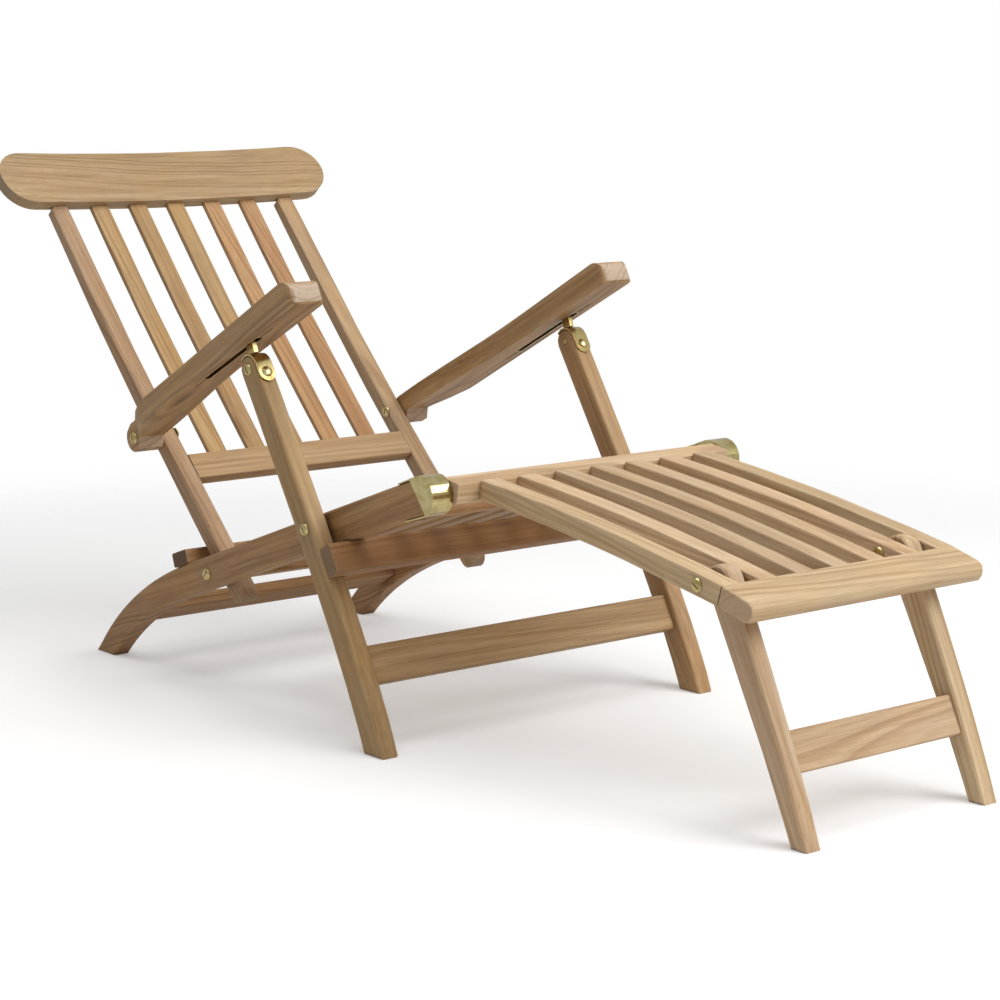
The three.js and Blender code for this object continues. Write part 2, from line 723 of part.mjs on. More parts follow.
// The outline of an armrest from above: run forward from the pivot, place across the chair
function armPlan() {
  const out = legOut + armOverhang;
  const inner = out - armWidth;
  const tongueIn = stileOut + runningGap;
  const tongueOut = tongueIn + armTongueThickness;
  const back = -armTongueRadius - overrun;
  const [pullFrom, pullTo] = armInnerPullShares;
  const curve = new THREE.CubicBezierCurve(
    point(armTongueRadius, tongueIn),
    point(armInnerRun * pullFrom, tongueIn),
    point(armInnerRun * pullTo, inner),
    point(armInnerRun, inner),
  );
  const ease = armCornerRadius * armCornerShare;
  return [
    point(back, tongueIn),
    ...curve.getPoints(curveSteps / 2),
    point(armLength - armCornerRadius, inner),
    point(armLength - ease, inner + ease),
    point(armLength + overrun, inner + armCornerRadius),
    point(armLength + overrun, out - armCornerRadius),
    point(armLength - ease, out - ease),
    point(armLength - armCornerRadius, out),
    point(armShoulderRun, out),
    point((armShoulderRun + armTongueRun) / 2, (out + tongueOut) / 2 + ease),
    point(armTongueRun, tongueOut),
    point(back, tongueOut),
  ];
}

const forwardAxis = (arm) => new THREE.Vector3(0, arm.forward.x, arm.forward.y);
const awayAxis = (arm) => new THREE.Vector3(0, arm.away.x, arm.away.y);

// Pushes an outline drawn as (run, across) from one height over the armrest's line to another
function fromArm(arm, points, low, high, bevel) {
  const across = new THREE.Vector3(1, 0, 0);
  const forward = forwardAxis(arm);
  const out = new THREE.Vector3().crossVectors(forward, across);
  const rising = out.dot(awayAxis(arm)) > 0;
  const near = rising ? low : -high;
  const far = rising ? high : -low;
  return extruded(points, near, far, bevel, forward, across).translate(0, armPivot.x, armPivot.y);
}

function slotOutline(length, width) {
  const half = (length - width) / 2;
  const middle = (legOut + legIn) / 2;
  const shape = new THREE.Shape();
  shape.absarc(armSlotReach + half, middle, width / 2, -Math.PI / 2, Math.PI / 2, false);
  shape.absarc(armSlotReach - half, middle, width / 2, Math.PI / 2, Math.PI * 1.5, false);
  return shape.getPoints(roundSteps / 2);
}

function armrest(arm) {
  const out = legOut + armOverhang;
  const side = slab(armSide(arm), stileOut, out + overrun, 0);
  const plan = fromArm(arm, armPlan(), -armFrontThickness, armFrontThickness * 2, 0);
  const under = -armPivotRise;
  const slot = fromArm(arm, slotOutline(armSlotLength, armSlotWidth), under - overrun, under + armSlotDepth, 0);
  const grooveTop = under + armGrooveDepth;
  const groove = fromArm(arm, slotOutline(armGrooveLength, armGrooveWidth), under - overrun, grooveTop, 0);
  return cut(common(side, plan), slot, groove, boltHole(armPivot, stileOut, out));
}

// The thin brass ring that lines the slot
function armLiner(arm) {
  const low = -armPivotRise;
  const high = low + armSlotDepth - jointGap;
  const ring = (skin) => slotOutline(armSlotLength - skin * 2, armSlotWidth - skin * 2);
  const shell = fromArm(arm, ring(jointGap), low, high, 0);
  const hollow = fromArm(arm, ring(jointGap + armLinerSkin), low - overrun, high + overrun, 0);
  return cut(shell, hollow);
}

// The line of the footrest's top, from the knee bar to the front bar
function footrestCurve() {
  const start = kneeBarMiddle.clone().add(point(overrun - kneeBarWidth / 2, 0));
  const end = kneePivot.clone().sub(point(footrestLength, footrestDrop));
  const middle = start.clone().lerp(end, footrestBowShare).add(point(0, footrestBow));
  return new THREE.QuadraticBezierCurve(start, middle, end);
}

const footLegPivot = placeOn(footrestCurve(), kneePivot, footLegPivotReach).middle;
const footHalf = ((footSlatCount - 1) / 2) * footSlatPitch + footSlatWidth / 2;
const footLegOut = footHalf - footSlatWidth - footLegSideGap;
const footLegIn = footHalf - footSlatPitch + footLegSideGap;
const boltedSlatIn = footHalf - footSlatPitch - footSlatWidth;

function frontBarPlace() {
  const curve = footrestCurve();
  const gap = frontBarWidth / 2 - overrun;
  return curve.getPoint(1).sub(along(frontBarTilt, gap));
}

function kneeBar() {
  const half = capIn - runningGap;
  const bar = crossbar(kneeBarMiddle, kneeBarTilt, kneeBarWidth, kneeBarThickness, half);
  const reach = half - pinReach;
  const hole = (from, to) => bore(kneePivot, from, to, pinRadius + jointGap);
  return cut(bar, hole(reach, half), hole(-half, -reach));
}

function frontBar() {
  const centre = frontBarPlace();
  const corners = section(centre, frontBarTilt, frontBarWidth, frontBarThickness, frontBarNose);
  const rear = (over) => {
    const corner = point(frontBarWidth / 2, (over * frontBarThickness) / 2);
    return turned(corner, frontBarTilt).add(centre);
  };
  return slab([rear(1), ...corners.slice(3, 9), rear(-1)], -footHalf, footHalf, timberEdge);
}

function footSlat(x, bored) {
  const near = x - footSlatWidth / 2;
  const far = x + footSlatWidth / 2;
  const body = slab(band(footrestCurve(), footSlatDepth, footSlatDepth), near, far, slatEdge);
  const tall = railDepth * 2;
  const kneeWidth = kneeBarWidth + jointGap * 2;
  const frontWidth = frontBarWidth + jointGap * 2;
  const kneeEnd = section(kneeBarMiddle, kneeBarTilt, kneeWidth, tall, 0);
  const frontEnd = section(frontBarPlace(), frontBarTilt, frontWidth, tall, 0);
  const ends = [kneeEnd, frontEnd].map((end) => slab(end, near - overrun, far + overrun, 0));
  const holes = bored ? [boltHole(footLegPivot, near, far)] : [];
  return cut(body, ...ends, ...holes);
}

function footLegCurve() {
  const foot = point(footLegPivot.x - footLegRun, 0);
  const straight = footLegPivot.clone().lerp(foot, footLegBendShare);
  return new THREE.QuadraticBezierCurve(foot, straight.sub(point(footLegBend, 0)), footLegPivot);
}

function footLeg() {
  const curve = footLegCurve();
  const outline = band(curve, footLegFootDepth, footLegTopDepth, { roundEnd: true });
  const toe = curve.getTangent(0).multiplyScalar(-footLegFootDepth);
  outline.push(outline[outline.length - 1].clone().add(toe));
  outline.push(outline[0].clone().add(toe));
  const body = slab(onFloor(outline), footLegIn, footLegOut, timberEdge);
  return cut(body, boltHole(footLegPivot, footLegIn, footLegOut));
}

function footStretcher() {
  const place = placeOn(footLegCurve(), footLegPivot, footStretcherReach);
  const half = footLegIn - jointGap;
  const lean = place.up.angle();
  return crossbar(place.middle, lean, footStretcherHeight, footStretcherThickness, half);
}

// The middles of a row of equal slats
function row(count, pitch) {
  return Array.from({ length: count }, (unused, i) => (i - (count - 1) / 2) * pitch);
}

function buildSeat() {
  addPair("side_rail", sideRail(), teak);
  addPair("knee_cap", kneeCap(), brass);
  addPair("knee_pin", kneePin(), brass);
  row(seatSlatCount, seatSlatPitch).forEach((x, i) => add(`seat_slat_${i + 1}`, seatSlat(x), teak));
  add("seat_front_rail", seatRail(seatFrontRailInset - seatFrontReach), teak);
  add("seat_rear_rail", seatRail(seatRearReach - seatRearRailInset), teak);
  add("rear_top_bar", rearBar(), teak);
  add("rear_stretcher", rearStretcher(), teak);
}

function buildFrontLegs(arm) {
  addPair("front_leg", frontLeg(), teak);
  addPair("leg_spacer", legSpacer(), brass);
  addPair("leg_bolt", bolt(legPivot, legOut, railInAt(0) - seatTilt), brass);
  addPair("leg_strap", legStrap(), brass);
  addPair("leg_hook", legHook(arm), brass);
  add("leg_stop_bar", legBar(), teak);
  add("leg_stretcher", legStretcher(), teak);
}

function buildBack(arm) {
  addPair("back_stile", stile(), teak);
  addPair("back_bolt", bolt(backPivot, railOutAt(backPivot.x) + seatTilt, stileIn), brass);
  row(backSlatCount, backSlatPitch).forEach((x, i) => add(`back_slat_${i + 1}`, backSlat(x), paleTeak));
  add("head_rail", headRail(), teak);
  add("lower_back_rail", lowerBackRail(), paleTeak);
  const tongueOut = stileOut + runningGap + armTongueThickness;
  addPair("armrest", armrest(arm), teak);
  addPair("arm_slot_liner", armLiner(arm), brass);
  addPair("arm_bolt", bolt(armPivot, tongueOut, stileIn), brass);
}

function buildFootrest() {
  add("knee_bar", kneeBar(), paleTeak);
  add("front_bar", frontBar(), paleTeak);
  row(footSlatCount, footSlatPitch).forEach((x, i) => {
    const bored = Math.abs(x) > boltedSlatIn;
    add(`foot_slat_${i + 1}`, footSlat(x, bored), paleTeak);
  });
  addPair("foot_leg", footLeg(), paleTeak);
  addPair("foot_bolt", bolt(footLegPivot, footHalf, boltedSlatIn), brass);
  add("foot_stretcher", footStretcher(), paleTeak);
}

// Puts the origin on the floor under the middle of the chair
function centre() {
  const box = new THREE.Box3().setFromObject(chair);
  const middle = box.getCenter(new THREE.Vector3());
  for (const mesh of chair.children) {
    mesh.geometry.translate(-middle.x, -middle.y, -box.min.z);
  }
}

const arm = armFrame();
buildSeat();
buildFrontLegs(arm);
buildBack(arm);
buildFootrest();
centre();

export default chair;
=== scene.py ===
"""Teak steamer deck chair: the dressed model, with timber, brass, camera and light."""
import json
import math
import random

import bmesh
import bpy
from mathutils import Matrix, Vector

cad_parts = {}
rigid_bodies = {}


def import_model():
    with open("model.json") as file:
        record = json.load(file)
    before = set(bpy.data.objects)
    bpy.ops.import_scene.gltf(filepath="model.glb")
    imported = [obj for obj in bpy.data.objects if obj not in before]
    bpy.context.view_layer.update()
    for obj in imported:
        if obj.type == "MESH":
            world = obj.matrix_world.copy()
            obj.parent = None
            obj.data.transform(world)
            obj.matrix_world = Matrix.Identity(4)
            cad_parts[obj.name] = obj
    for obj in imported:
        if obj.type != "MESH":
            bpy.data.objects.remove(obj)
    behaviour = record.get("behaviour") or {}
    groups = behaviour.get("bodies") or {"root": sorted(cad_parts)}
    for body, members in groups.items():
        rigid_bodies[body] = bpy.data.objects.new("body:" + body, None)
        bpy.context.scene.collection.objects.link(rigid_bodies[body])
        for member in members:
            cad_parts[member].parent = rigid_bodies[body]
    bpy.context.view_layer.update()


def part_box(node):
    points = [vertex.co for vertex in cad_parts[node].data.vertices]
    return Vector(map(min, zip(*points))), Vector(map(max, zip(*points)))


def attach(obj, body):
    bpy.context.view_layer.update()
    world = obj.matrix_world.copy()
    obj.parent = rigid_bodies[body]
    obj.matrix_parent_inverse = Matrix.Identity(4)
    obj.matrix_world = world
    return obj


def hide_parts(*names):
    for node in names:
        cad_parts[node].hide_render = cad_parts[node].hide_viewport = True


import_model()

MM = 0.001
SIDES = ("left", "right")


def direction(y, z):
    """A direction in the plane of the chair's side."""
    return (0.0, y, z)


# The way the grain runs in the timbers
SEAT_SLOPE = math.radians(19.1)
BACK_SLOPE = math.radians(46.47)
ACROSS = (1.0, 0.0, 0.0)
SEAT_AXIS = direction(math.cos(SEAT_SLOPE), -math.sin(SEAT_SLOPE))
BACK_AXIS = direction(math.cos(BACK_SLOPE), math.sin(BACK_SLOPE))
LEG_AXIS = direction(0.52, 0.854)
ARM_AXIS = direction(0.873, -0.488)
FOOT_SLAT_AXIS = direction(0.989, 0.148)
FOOT_LEG_AXIS = direction(0.42, 0.907)

# Eased edges, and how far an end is lengthened to close its joint
FRAME_EDGE = 0.0014
ARM_EDGE = 0.0022
HEAD_RAIL_EDGE = 0.0024
JOINT = 0.26 * MM
SLAT_JOINT = 0.6 * MM
END_ZONE = 5 * MM

# The round front end of an armrest
NOSE_TOP = 21 * MM
NOSE_UNDER = 8 * MM
NOSE_ZONE = 18 * MM

# Knee cap: the radii of the two faces of its sheet, and what tells the edges of its round from the others
CAP_OUTER = 27.1 * MM
CAP_INNER = 25.3 * MM
CAP_RIM = 0.0008
ROUND_SLACK = 0.5 * MM
ROUND_BACK = 9 * MM
ROUND_EDGE = 3 * MM
CHORD_SWELL = 1.008

# Bolts and screws
HEAD_RADIUS = 9 * MM
HEAD_HEIGHT = 3.6 * MM
SHANK_RADIUS = 3.9 * MM
SLOT_DEPTH = 1.5 * MM
SLOT_LENGTH = 0.03
SLOT_WIDTH = 0.0017
LEG_BOLT_RADIUS = 8.2 * MM
LEG_BOLT_SLOT_DEPTH = 1.4 * MM
LEG_BOLT_TAIL_RADIUS = 4 * MM
LEG_BOLT_TAIL_HEIGHT = 1.2 * MM
STRAP_SCREW_RADIUS = 7.6 * MM
STRAP_SCREW_HEIGHT = 4.2 * MM
STRAP_SHANK_RADIUS = 3 * MM
STRAP_SHANK_DEPTH = 3 * MM
LATHE_STEPS = 48
TURNED_SHARP = 28.0
SHEET_SHARP = 46.0

# The round top of a front leg, its strap and its hook
LEG_TOP = Vector((0, 108.8 * MM, 488 * MM))
LEG_RISE = Vector((0, 0.54, 0.8417)).normalized()
LEG_LEAD = Vector((0, -LEG_RISE.z, LEG_RISE.y))
LEG_OUT = 300 * MM
LEG_IN = 272.6 * MM
LEG_MIDDLE = 286 * MM
TOP_HEAD_HEIGHT = 3 * MM
SCREW_DROP = 15 * MM
SCREW_LEAD = 21.5 * MM
HOOK_RISE = Vector((0, 0.3617, 0.9325)).normalized()
HOOK_INTO_SLOT = 7 * MM
HOOK_ONTO_STRAP = 0.9 * MM


# Node tools
def group_tree(name, inputs, outputs):
    """A new node group with its named inputs and outputs."""
    tree = bpy.data.node_groups.new(name, "ShaderNodeTree")
    for label, kind, value in inputs:
        socket = tree.interface.new_socket(label, in_out="INPUT", socket_type=kind)
        if value is not None:
            socket.default_value = value
    for label, kind in outputs:
        tree.interface.new_socket(label, in_out="OUTPUT", socket_type=kind)
    return tree, tree.nodes.new("NodeGroupInput"), tree.nodes.new("NodeGroupOutput")


class Wiring:
    """Adds nodes to a tree and joins them in few words; a value may be a number or another node's socket."""

    def __init__(self, tree):
        self.tree = tree

    def node(self, kind, **settings):
        node = self.tree.nodes.new(kind)
        for key, value in settings.items():
            setattr(node, key, value)
        return node

    def join(self, value, socket):
        if isinstance(value, bpy.types.NodeSocket):
            self.tree.links.new(value, socket)
        else:
            socket.default_value = value

    def math(self, operation, a, b=0.0, c=None, clamp=False):
        node = self.node("ShaderNodeMath", operation=operation, use_clamp=clamp)
        self.join(a, node.inputs[0])
        self.join(b, node.inputs[1])
        if c is not None:
            self.join(c, node.inputs[2])
        return node.outputs[0]

    def vector(self, operation, a, b):
        node = self.node("ShaderNodeVectorMath", operation=operation)
        self.join(a, node.inputs[0])
        self.join(b, node.inputs[1])
        return node.outputs[0]

    def scaled(self, vector, scale):
        return self.vector("MULTIPLY", vector, scale)

    def noise(self, vector, scale, detail=3.0, roughness=0.55, distortion=0.0):
        node = self.node("ShaderNodeTexNoise")
        self.join(vector, node.inputs["Vector"])
        self.join(scale, node.inputs["Scale"])
        node.inputs["Detail"].default_value = detail
        node.inputs["Roughness"].default_value = roughness
        node.inputs["Distortion"].default_value = distortion
        return node.outputs["Fac"]

    def ramp(self, value, low, high, start=0.0, end=1.0, smooth=True):
        node = self.node("ShaderNodeMapRange")
        node.interpolation_type = "SMOOTHSTEP" if smooth else "LINEAR"
        self.join(value, node.inputs["Value"])
        self.join(low, node.inputs["From Min"])
        self.join(high, node.inputs["From Max"])
        self.join(start, node.inputs["To Min"])
        self.join(end, node.inputs["To Max"])
        return node.outputs["Result"]

    def mix(self, factor, a, b, blend="MIX"):
        node = self.node("ShaderNodeMix", data_type="RGBA", blend_type=blend)
        self.join(factor, node.inputs[0])
        self.join(a, node.inputs[6])
        self.join(b, node.inputs[7])
        return node.outputs[2]


def tone(red, green, blue):
    """A colour written as it looks on screen, 0 to 255, as the shader wants it."""
    def linear(value):
        share = value / 255
        return share / 12.92 if share <= 0.04045 else ((share + 0.055) / 1.055) ** 2.4
    return (linear(red), linear(green), linear(blue), 1.0)


# Shared effects
def plank_place(w):
    """The place in the board, that place moved to the board's own part of the wood, its hue and its shade."""
    place = w.node("ShaderNodeAttribute", attribute_name="board").outputs["Vector"]
    seed = w.node("ShaderNodeSeparateXYZ")
    w.join(w.node("ShaderNodeAttribute", attribute_name="plank").outputs["Vector"], seed.inputs[0])
    hue, shade, offset = seed.outputs
    shift = w.node("ShaderNodeCombineXYZ")
    for socket, stride in zip(shift.inputs, (7.0, 3.1, 1.7)):
        w.join(w.math("MULTIPLY", offset, stride), socket)
    return place, w.vector("ADD", place, shift.outputs[0]), hue, shade


def knots(w, moved):
    """The few knots of a board, long along the grain: how far each bends it, and the knot's dark heart."""
    cells = w.node("ShaderNodeTexVoronoi", feature="F1")
    cells.inputs["Scale"].default_value = 1.0
    w.join(w.scaled(moved, (3.4, 15.0, 15.0)), cells.inputs["Vector"])
    lot = w.node("ShaderNodeSeparateXYZ")
    w.join(cells.outputs["Color"], lot.inputs[0])
    chosen = w.math("GREATER_THAN", lot.outputs[0], 0.7)
    knot = w.math("MULTIPLY", chosen, w.ramp(cells.outputs["Distance"], 0.5, 0.0))
    return knot, w.math("MULTIPLY", chosen, w.ramp(cells.outputs["Distance"], 0.13, 0.03))


def growth_rings(w, place, moved, hue, shade, slow, knot, ring_width):
    """Counts the rings out from the heart of the tree, which lies at a slant under the board and wanders."""
    parts = w.node("ShaderNodeSeparateXYZ")
    w.join(place, parts.inputs[0])
    slant = w.math("MULTIPLY", parts.outputs[0], w.math("MULTIPLY_ADD", hue, 0.14, -0.07))
    slower = w.noise(w.scaled(moved, (1.1, 3.0, 3.0)), 1.0, 1.0, 0.5)
    across = w.math("ADD", parts.outputs[1], w.math("MULTIPLY_ADD", hue, 0.07, -0.035))
    across = w.math("ADD", across, w.math("MULTIPLY_ADD", slower, 0.07, -0.035))
    depth = w.math("ADD", parts.outputs[2], w.math("MULTIPLY_ADD", shade, 0.05, 0.016))
    depth = w.math("ADD", depth, slant)
    squares = w.math("ADD", w.math("MULTIPLY", across, across), w.math("MULTIPLY", depth, depth))
    radius = w.math("SQRT", squares)
    wander = w.math("ADD", w.math("MULTIPLY", slow, 0.02), w.math("MULTIPLY", knot, 0.014))
    return w.math("DIVIDE", w.math("ADD", radius, wander), ring_width)


def timber_group():
    """Sawn timber: growth rings cut by the faces, knots, pores, streaks and end grain."""
    inputs = [
        ("Light", "NodeSocketColor", tone(206, 172, 132)),
        ("Dark", "NodeSocketColor", tone(160, 118, 78)),
        ("Streak", "NodeSocketColor", tone(116, 76, 46)),
        ("End grain", "NodeSocketColor", tone(168, 138, 112)),
        ("Ring width", "NodeSocketFloat", 0.0042),
        ("Ring strength", "NodeSocketFloat", 0.55),
    ]
    outputs = [("Color", "NodeSocketColor"), ("Roughness", "NodeSocketFloat"), ("Height", "NodeSocketFloat")]
    tree, given, result = group_tree("timber grain", inputs, outputs)
    w = Wiring(tree)
    cut_end = w.node("ShaderNodeAttribute", attribute_name="cut_end")
    place, moved, hue, shade = plank_place(w)
    knot, knot_heart = knots(w, moved)
    slow = w.noise(w.scaled(moved, (3.0, 9.0, 9.0)), 1.0, 2.0, 0.5)
    rings = growth_rings(w, place, moved, hue, shade, slow, knot, given.outputs["Ring width"])
    phase = w.math("FRACT", rings)
    late = w.math("MULTIPLY", w.ramp(phase, 0.3, 0.9), w.ramp(phase, 1.0, 0.92))
    uneven = w.noise(w.math("FLOOR", rings), 3.7, 0.0)
    dark_year = w.math("MULTIPLY", late, w.ramp(uneven, 0.62, 0.68))
    late = w.math("MULTIPLY", late, w.ramp(uneven, 0.35, 0.7, 0.05, 1.0))
    late = w.math("MULTIPLY", late, w.ramp(slow, 0.35, 0.6, 0.35, 1.0))
    years = w.noise(w.math("MULTIPLY", rings, 0.45), 1.0, 2.0, 0.6)

    fibre = w.noise(w.scaled(moved, (7.0, 520.0, 520.0)), 1.0, 4.0, 0.65)
    pores = w.noise(w.scaled(moved, (34.0, 1500.0, 1500.0)), 1.0, 1.0, 0.5)
    pore_mask = w.ramp(pores, 0.62, 0.72)
    broad = w.noise(w.scaled(moved, (2.6, 46.0, 46.0)), 1.0, 3.0, 0.6)
    streaks = w.ramp(w.noise(w.scaled(moved, (1.7, 90.0, 90.0)), 1.0, 3.0, 0.65, 0.3), 0.56, 0.72)
    clouds = w.noise(moved, 12.0, 2.0, 0.5)

    mixed = w.math("ADD", w.ramp(years, 0.32, 0.68, 0.0, 0.55), w.ramp(broad, 0.3, 0.7, 0.0, 0.45))
    base = w.mix(mixed, given.outputs["Light"], given.outputs["Dark"])
    ringed = w.mix(0.45, given.outputs["Dark"], given.outputs["Streak"])
    base = w.mix(w.math("MULTIPLY", late, given.outputs["Ring strength"]), base, ringed)
    base = w.mix(w.math("MULTIPLY", dark_year, 0.2), base, given.outputs["Streak"])
    base = w.mix(w.math("MULTIPLY", streaks, 0.3), base, given.outputs["Streak"])
    base = w.mix(w.ramp(fibre, 0.3, 0.75, 0.0, 0.34), base, given.outputs["Streak"])
    base = w.mix(w.math("MULTIPLY", pore_mask, 0.34), base, given.outputs["Streak"])
    base = w.mix(w.math("MULTIPLY", knot_heart, 0.6), base, given.outputs["Streak"])
    warmth = w.node("ShaderNodeHueSaturation")
    w.join(w.math("MULTIPLY_ADD", hue, 0.012, 0.4965), warmth.inputs["Hue"])
    w.join(w.math("MULTIPLY_ADD", clouds, 0.2, 0.9), warmth.inputs["Saturation"])
    value = w.math("MULTIPLY_ADD", w.math("SUBTRACT", shade, 0.5), 0.2, 1.02)
    value = w.math("MULTIPLY", value, w.math("MULTIPLY_ADD", clouds, 0.18, 0.91))
    w.join(value, warmth.inputs["Value"])
    w.join(base, warmth.inputs["Color"])

    # Across the grain the rings show as arcs, and the open ends are darker and duller
    saw = w.noise(w.scaled(moved, (90.0, 260.0, 900.0)), 1.0, 3.0, 0.6)
    ends = w.mix(w.math("MULTIPLY", late, 0.3), given.outputs["End grain"], given.outputs["Streak"])
    ends = w.mix(w.ramp(saw, 0.35, 0.75, 0.0, 0.4), ends, given.outputs["Dark"])
    speckle = w.ramp(w.noise(moved, 900.0, 1.0), 0.55, 0.7)
    ends = w.mix(w.math("MULTIPLY", speckle, 0.3), ends, given.outputs["Streak"])
    open_end = cut_end.outputs["Fac"]
    w.join(w.mix(open_end, warmth.outputs[0], ends), result.inputs["Color"])

    rough = w.math("MULTIPLY_ADD", fibre, 0.14, 0.48)
    rough = w.math("ADD", rough, w.math("MULTIPLY", late, -0.06))
    w.join(w.math("ADD", rough, w.math("MULTIPLY", open_end, 0.14)), result.inputs["Roughness"])
    height = w.math("ADD", w.math("MULTIPLY", fibre, 0.5), w.math("MULTIPLY", late, 0.45))
    height = w.math("SUBTRACT", height, w.math("MULTIPLY", pore_mask, 0.9))
    sawn = w.math("MULTIPLY", saw, w.math("MULTIPLY", open_end, 0.6))
    w.join(w.math("ADD", height, sawn), result.inputs["Height"])
    return tree


def wear_and_shade_group():
    """Edges rubbed brighter, and painted shade: nooks found by ambient occlusion are darkened."""
    inputs = [
        ("Color", "NodeSocketColor", None),
        ("Rubbed", "NodeSocketColor", tone(226, 200, 166)),
        # The dark colour painted as shade into nooks, and how strongly
        ("Dust", "NodeSocketColor", tone(88, 60, 38)),
        ("Edge radius", "NodeSocketFloat", 0.0022),
        ("Edge strength", "NodeSocketFloat", 0.4),
        ("Dust strength", "NodeSocketFloat", 0.5),
    ]
    outputs = [("Color", "NodeSocketColor"), ("Edge", "NodeSocketFloat")]
    tree, given, result = group_tree("edge wear and painted shade", inputs, outputs)
    w = Wiring(tree)
    rounded = w.node("ShaderNodeBevel", samples=4)
    w.join(given.outputs["Edge radius"], rounded.inputs["Radius"])
    shape = w.node("ShaderNodeNewGeometry")
    facing = w.node("ShaderNodeVectorMath", operation="DOT_PRODUCT")
    w.join(rounded.outputs[0], facing.inputs[0])
    w.join(shape.outputs["Normal"], facing.inputs[1])
    edge = w.ramp(facing.outputs["Value"], 0.995, 0.86)
    place = w.node("ShaderNodeTexCoord").outputs["Object"]
    patches = w.noise(place, 38.0, 4.0, 0.6)
    edge = w.math("MULTIPLY", edge, w.ramp(patches, 0.36, 0.66, 0.15, 1.0))
    # Painted shade: where ambient occlusion finds a nook close by, the colour is darkened
    nook = w.node("ShaderNodeAmbientOcclusion", samples=4)
    nook.inputs["Distance"].default_value = 0.012
    painted_shade = w.ramp(nook.outputs["AO"], 0.78, 0.2)
    painted_shade_amount = w.math("MULTIPLY", painted_shade, given.outputs["Dust strength"])
    color = w.mix(painted_shade_amount, given.outputs["Color"], given.outputs["Dust"])
    rubbed = w.math("MULTIPLY", edge, given.outputs["Edge strength"])
    w.join(w.mix(rubbed, color, given.outputs["Rubbed"]), result.inputs["Color"])
    w.join(edge, result.inputs["Edge"])
    return tree


def brass_group():
    """Polished brass with smudges, hairlines and a little brown bloom."""
    inputs = [
        ("Bright", "NodeSocketColor", tone(228, 202, 130)),
        ("Deep", "NodeSocketColor", tone(196, 160, 84)),
        ("Bloom", "NodeSocketColor", tone(128, 92, 46)),
        ("Polish", "NodeSocketFloat", 0.2),
    ]
    outputs = [("Color", "NodeSocketColor"), ("Roughness", "NodeSocketFloat"), ("Height", "NodeSocketFloat")]
    tree, given, result = group_tree("polished brass", inputs, outputs)
    w = Wiring(tree)
    place = w.node("ShaderNodeTexCoord").outputs["Object"]
    smudge = w.noise(place, 70.0, 4.0, 0.6, 0.4)
    hairline = w.noise(w.scaled(place, (160.0, 160.0, 2600.0)), 1.0, 2.0, 0.5)
    spots = w.ramp(w.noise(place, 240.0, 2.0, 0.5), 0.68, 0.8)
    color = w.mix(w.ramp(smudge, 0.3, 0.75), given.outputs["Bright"], given.outputs["Deep"])
    w.join(w.mix(w.math("MULTIPLY", spots, 0.45), color, given.outputs["Bloom"]), result.inputs["Color"])
    rough = w.math("ADD", given.outputs["Polish"], w.math("MULTIPLY", w.math("SUBTRACT", smudge, 0.45), 0.3))
    rough = w.math("ADD", rough, w.math("MULTIPLY", spots, 0.2))
    w.join(w.math("MAXIMUM", rough, 0.06), result.inputs["Roughness"])
    height = w.math("ADD", w.math("MULTIPLY", hairline, 0.5), w.math("MULTIPLY", smudge, 0.4))
    w.join(height, result.inputs["Height"])
    return tree


TIMBER = timber_group()
WEAR_AND_SHADE = wear_and_shade_group()
BRASS = brass_group()


def use_group(w, tree, **values):
    """Puts a shared effect into a material and sets its inputs by name."""
    node = w.node("ShaderNodeGroup", node_tree=tree)
    for name, value in values.items():
        w.join(value, node.inputs[name.replace("_", " ")])
    return node


def finish_material(material, color, surface, strength, distance):
    """Joins a worn colour, with its painted shade, and a surface's roughness and height to the material's own
    shader.
    """
    w = Wiring(material.node_tree)
    shader = material.node_tree.nodes["Principled BSDF"]
    bump = w.node("ShaderNodeBump")
    bump.inputs["Strength"].default_value = strength
    bump.inputs["Distance"].default_value = distance
    w.join(surface.outputs["Height"], bump.inputs["Height"])
    w.join(color, shader.inputs["Base Color"])
    w.join(surface.outputs["Roughness"], shader.inputs["Roughness"])
    w.join(bump.outputs[0], shader.inputs["Normal"])
    return shader


def teak(name, light, dark, streak, end_grain, ring_width=0.0042, ring_strength=0.55, rubbed=(226, 200, 166)):
    material = bpy.data.materials.new(name)
    material.use_nodes = True
    w = Wiring(material.node_tree)
    grain = use_group(w, TIMBER, Light=tone(*light), Dark=tone(*dark), Streak=tone(*streak),
                      End_grain=tone(*end_grain), Ring_width=ring_width, Ring_strength=ring_strength)
    # Besides the rubbed edges, the wear group paints shade into corners and nooks in the dark brown given
    # here
    worn_and_shaded = use_group(w, WEAR_AND_SHADE, Color=grain.outputs["Color"], Rubbed=tone(*rubbed), Dust=tone(92, 62, 40),
                     Edge_radius=0.0024, Edge_strength=0.34, Dust_strength=0.5)
    shader = finish_material(material, worn_and_shaded.outputs["Color"], grain, 0.35, 0.0006)
    shader.inputs["Specular IOR Level"].default_value = 0.32
    return material


def brass(name, bright, deep, polish, strength=0.12):
    material = bpy.data.materials.new(name)
    material.use_nodes = True
    w = Wiring(material.node_tree)
    metal = use_group(w, BRASS, Bright=tone(*bright), Deep=tone(*deep), Polish=polish)
    # Besides the rubbed edges, the wear group paints shade into the fitting's nooks in the dark brown given
    # here
    worn_and_shaded = use_group(w, WEAR_AND_SHADE, Color=metal.outputs["Color"], Rubbed=tone(246, 228, 170), Dust=tone(92, 64, 30),
                     Edge_radius=0.0009, Edge_strength=0.5, Dust_strength=0.7)
    shader = finish_material(material, worn_and_shaded.outputs["Color"], metal, strength, 0.0002)
    shader.inputs["Metallic"].default_value = 1.0
    return material


